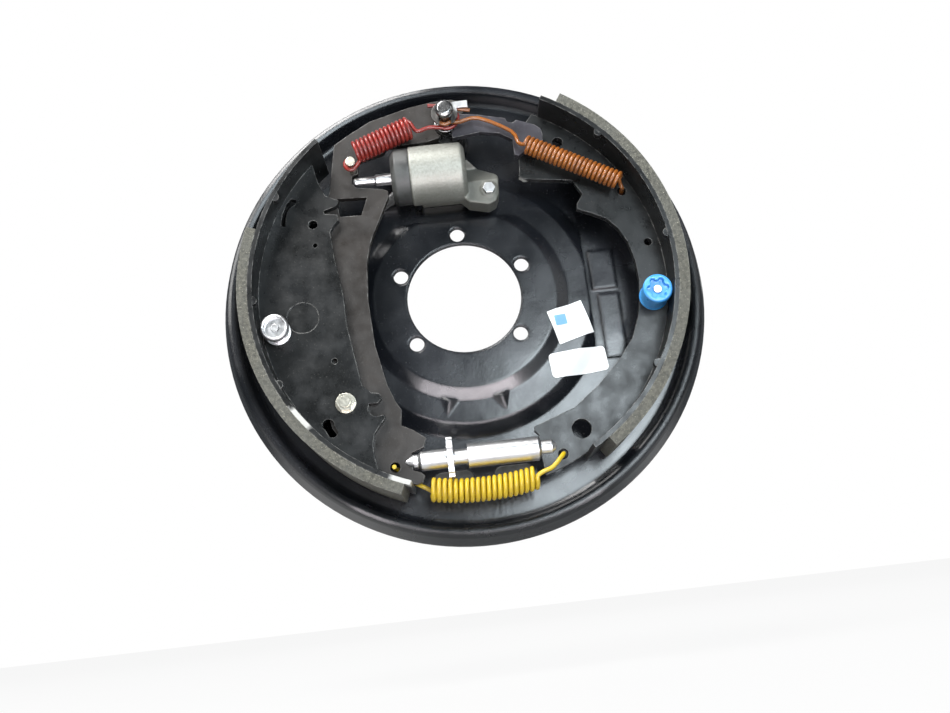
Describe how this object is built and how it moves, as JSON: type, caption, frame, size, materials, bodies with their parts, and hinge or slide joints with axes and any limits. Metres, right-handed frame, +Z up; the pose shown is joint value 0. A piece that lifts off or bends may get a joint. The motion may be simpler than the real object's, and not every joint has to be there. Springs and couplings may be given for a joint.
{
  "type": "trailer drum brake assembly",
  "caption": "Hydraulic drum brake on a round backing plate: two lined shoes, lever, wheel cylinder, star-wheel adjuster, return springs and hold-downs.",
  "frame": {"origin": "centre of the hub bore on the face that bolts to the axle flange", "axes": "+Z up to the anchor post, -Y out of the open side with the shoes, +Y to the axle flange"},
  "size_m": [0.3512, 0.08, 0.3512],
  "materials": {
    "plate_black": "black gloss paint",
    "shoe_paint": "dark grey paint",
    "lever_steel": "thin brown-grey paint",
    "link_steel": "grey phosphate",
    "lining": "moulded friction material",
    "zinc": "bright zinc plate",
    "zinc_yellow": "pale yellow zinc plate",
    "post_steel": "machined steel",
    "dark_steel": "black oxide",
    "casting": "raw grey casting",
    "piston_metal": "turned",
    "rubber": "matt moulded rubber",
    "red_spring": "red paint",
    "brown_spring": "copper-brown paint",
    "yellow_spring": "yellow paint",
    "blue_cup": "light blue coating",
    "label_paper": "plain adhesive label"
  },
  "bodies": {
    "plate": {"backing_plate": "plate_black", "plate_plugs": "rubber", "anchor_post": "post_steel", "anchor_collar": "dark_steel", "anchor_nut": "zinc", "anchor_clip": "zinc", "cylinder_body": "casting", "cylinder_bolts": "zinc", "cylinder_spring": "zinc", "dust_boot": "rubber", "shoe_return_spring": "brown_spring", "left_hold_down_pin": "zinc", "left_hold_down_cup": "zinc", "left_hold_down_spring": "zinc", "right_hold_down_pin": "zinc", "right_hold_down_cup": "blue_cup", "right_hold_down_spring": "zinc"},
    "secondary": {"secondary_shoe": "shoe_paint", "anchor_link": "link_steel", "secondary_lining": "lining", "adjuster_sleeve": "zinc", "adjuster_spring": "yellow_spring"},
    "star": {"star_screw": "zinc"},
    "nut": {"adjuster_nut": "zinc"},
    "lever": {"primary_lever": "lever_steel", "pivot_pin": "zinc_yellow", "pivot_nut": "zinc_yellow", "spring_pin": "zinc_yellow", "lever_return_spring": "red_spring"},
    "primary": {"primary_shoe": "shoe_paint", "primary_lining": "lining"},
    "pushrod": {"push_rod": "zinc", "piston": "piston_metal", "piston_cup": "rubber"},
    "bleeder": {"bleeder_screw": "zinc_yellow"}
  },
  "joints": [
    {"name": "secondary_swing", "type": "hinge", "parent": "plate", "child": "secondary", "pos_m": [0, -0.0237, 0.125], "axis": [0, -1, 0], "range_deg": [0, 0.4], "stiffness_Nm_per_rad": 500, "springref_deg": -2.86, "deforming": ["shoe_return_spring"]},
    {"name": "star_turn", "type": "hinge", "parent": "secondary", "child": "star", "pos_m": [-0.02, -0.0237, -0.118], "axis": [-1, 0, 0], "range_deg": [0, 540]},
    {"name": "nut_slide", "type": "slide", "parent": "secondary", "child": "nut", "axis": [-1, 0, 0], "range_m": [0, 0.00159], "deforming": ["adjuster_spring"]},
    {"name": "lever_swing", "type": "hinge", "parent": "nut", "child": "lever", "pos_m": [-0.047, -0.0237, -0.118], "axis": [0, -1, 0], "range_deg": [0, 0.6], "stiffness_Nm_per_rad": 400, "springref_deg": -2.86, "deforming": ["lever_return_spring"]},
    {"name": "primary_swing", "type": "hinge", "parent": "lever", "child": "primary", "pos_m": [-0.087, -0.029, -0.075], "axis": [0, 1, 0], "range_deg": [0, 0.8]},
    {"name": "rod_slide", "type": "slide", "parent": "plate", "child": "pushrod", "axis": [-1, 0, 0], "range_m": [0, 0.0022], "deforming": ["cylinder_spring"]},
    {"name": "bleeder_turn", "type": "hinge", "parent": "plate", "child": "bleeder", "pos_m": [-0.003, 0.01, 0.0995], "axis": [0, 1, 0], "range_deg": [0, 270]}
  ],
  "couplings": [
    {"joint": "star_turn", "follows": "nut_slide", "rad_per_m": 5927.5},
    {"joint": "rod_slide", "follows": "lever_swing", "m_per_rad": 0.2065}
  ]
}
